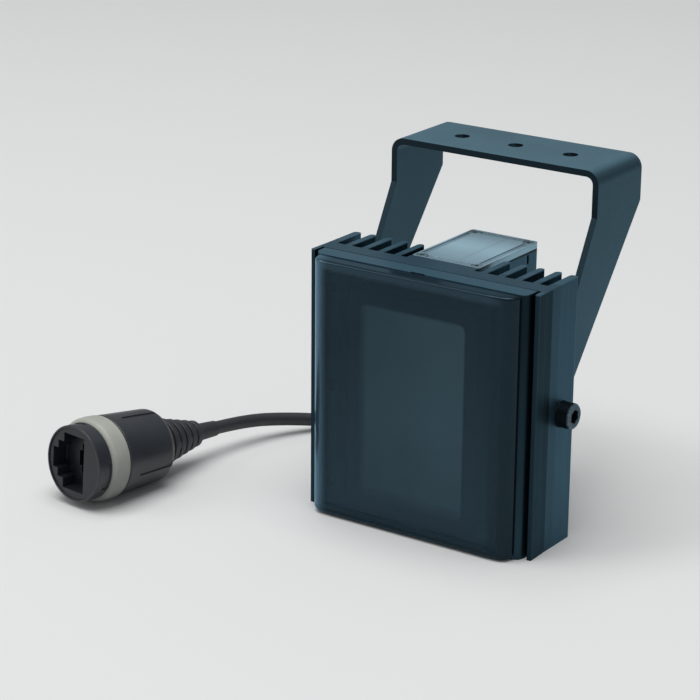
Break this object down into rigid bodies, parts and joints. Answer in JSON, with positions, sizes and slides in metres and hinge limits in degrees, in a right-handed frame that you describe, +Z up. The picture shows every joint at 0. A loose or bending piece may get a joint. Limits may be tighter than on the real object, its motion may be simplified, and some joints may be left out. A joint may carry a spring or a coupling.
{
  "type": "infrared illuminator",
  "caption": "Finned square infrared flood light with smoked front window, rear driver box, folded tilting bracket and a short cable to a sealed network socket.",
  "frame": {"origin": "on the surface that the housing stands on, in its middle plane, level with the front edge of the heatsink's side walls", "axes": "+X across the unit, to the right seen from the front; +Y from the window back to the driver box; +Z up"},
  "size_m": [0.1942, 0.1939, 0.1392],
  "materials": {
    "anodised_body": "dark anodised extrusion, satin",
    "cap_aluminium": "pale anodised, satin",
    "smoked_window": "dark smoked, glossy",
    "seal_rubber": "black rubber",
    "emitter_board": "dark solder resist",
    "emitter_dome": "clear resin dome",
    "clear_lens": "clear moulded lens",
    "holder_plastic": "black moulded",
    "screw_steel": "plated steel",
    "bolt_steel": "black oxide",
    "bracket_paint": "dark powder coat, satin",
    "washer_nylon": "black nylon",
    "green_board": "green solder resist",
    "core_ferrite": "ferrite with copper winding",
    "component_black": "black moulded",
    "capacitor_sleeve": "shrink sleeve",
    "terminal_plastic": "moulded",
    "lead_insulation": "coloured insulation",
    "gland_plastic": "black moulded",
    "cable_jacket": "dark jacket, satin",
    "relief_rubber": "dark moulded",
    "connector_plastic": "dark moulded, satin",
    "port_plastic": "dark moulded",
    "ring_rubber": "off-white soft ring",
    "contact_gold": "gold plated"
  },
  "bodies": {
    "housing": {"board_screws": "screw_steel", "bottom_cap_screws": "screw_steel", "box_bottom_cap": "cap_aluminium", "box_bottom_gasket": "seal_rubber", "box_screws": "screw_steel", "box_top_cap": "cap_aluminium", "box_top_gasket": "seal_rubber", "cable": "cable_jacket", "cable_tail": "cable_jacket", "driver_board": "green_board", "driver_box": "anodised_body", "driver_capacitors": "capacitor_sleeve", "driver_chips": "component_black", "driver_choke": "core_ferrite", "driver_terminals": "terminal_plastic", "driver_transformer": "core_ferrite", "frame_screws": "screw_steel", "frame_seal": "seal_rubber", "front_frame": "anodised_body", "front_window": "smoked_window", "gland_body": "gland_plastic", "gland_locknut": "gland_plastic", "gland_nut": "gland_plastic", "gland_seal": "seal_rubber", "heatsink": "anodised_body", "lan_magnetics": "component_black", "lead_bush": "seal_rubber", "led_board": "emitter_board", "led_emitters": "emitter_dome", "led_leads": "lead_insulation", "lens_holder": "holder_plastic", "lens_plate": "clear_lens", "port_contacts": "contact_gold", "port_insert": "port_plastic", "ring_seal": "ring_rubber", "socket_shell": "connector_plastic", "strain_relief": "relief_rubber", "top_cap_screws": "screw_steel", "window_seal": "seal_rubber"},
    "bracket": {"bracket": "bracket_paint", "pivot_bolts": "bolt_steel", "lock_washers": "screw_steel", "arm_washers": "washer_nylon"}
  },
  "joints": [
    {"name": "bracket_tilt", "type": "hinge", "parent": "housing", "child": "bracket", "pos_m": [0, 0.0198, 0.05283], "axis": [-1, 0, 0], "range_deg": [-27.5, 63]}
  ]
}
